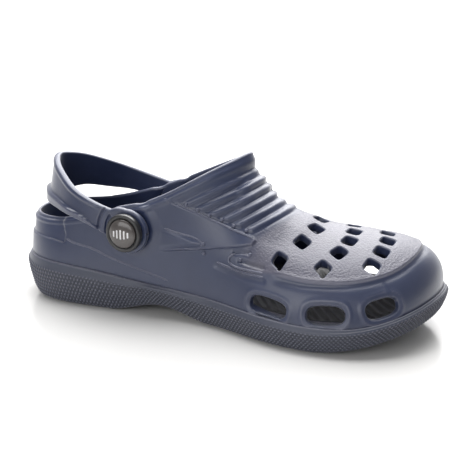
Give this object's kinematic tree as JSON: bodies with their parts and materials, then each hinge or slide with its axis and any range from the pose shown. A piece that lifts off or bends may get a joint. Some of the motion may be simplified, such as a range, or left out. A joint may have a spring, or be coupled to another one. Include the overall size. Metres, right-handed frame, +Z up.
{
  "type": "garden clog",
  "caption": "Slip-on moulded foam clog with a ventilated toe, a ribbed instep, a lipped foot opening and a heel strap that swings on snap rivets.",
  "frame": {"origin": "centre of the bounding box at ground level, under the sole", "axes": "+X towards the toe, +Y towards the medial (inner) side of a right foot, +Z up"},
  "size_m": [0.2896, 0.1151, 0.1051],
  "materials": {
    "upper_foam": "satin moulded foam, fine grain",
    "sole_foam": "matt moulded foam, pebbled band",
    "footbed_foam": "matt moulded foam with ridges",
    "strap_foam": "satin moulded foam",
    "rivet_plastic": "moulded, slightly glossy",
    "badge_plastic": "glossy dome"
  },
  "bodies": {
    "clog": {"upper_shell": "upper_foam", "outsole": "sole_foam", "footbed": "footbed_foam", "lateral_spacer": "rivet_plastic", "lateral_button": "rivet_plastic", "lateral_badge": "badge_plastic", "lateral_rivet_base": "rivet_plastic", "medial_spacer": "rivet_plastic", "medial_button": "rivet_plastic", "medial_badge": "badge_plastic", "medial_rivet_base": "rivet_plastic"},
    "strap": {"heel_strap": "strap_foam"}
  },
  "joints": [
    {"name": "strap_swing", "type": "hinge", "parent": "clog", "child": "strap", "pos_m": [-0.049, 0, 0.057], "axis": [0, 1, 0], "range_deg": [-5, 108]}
  ]
}
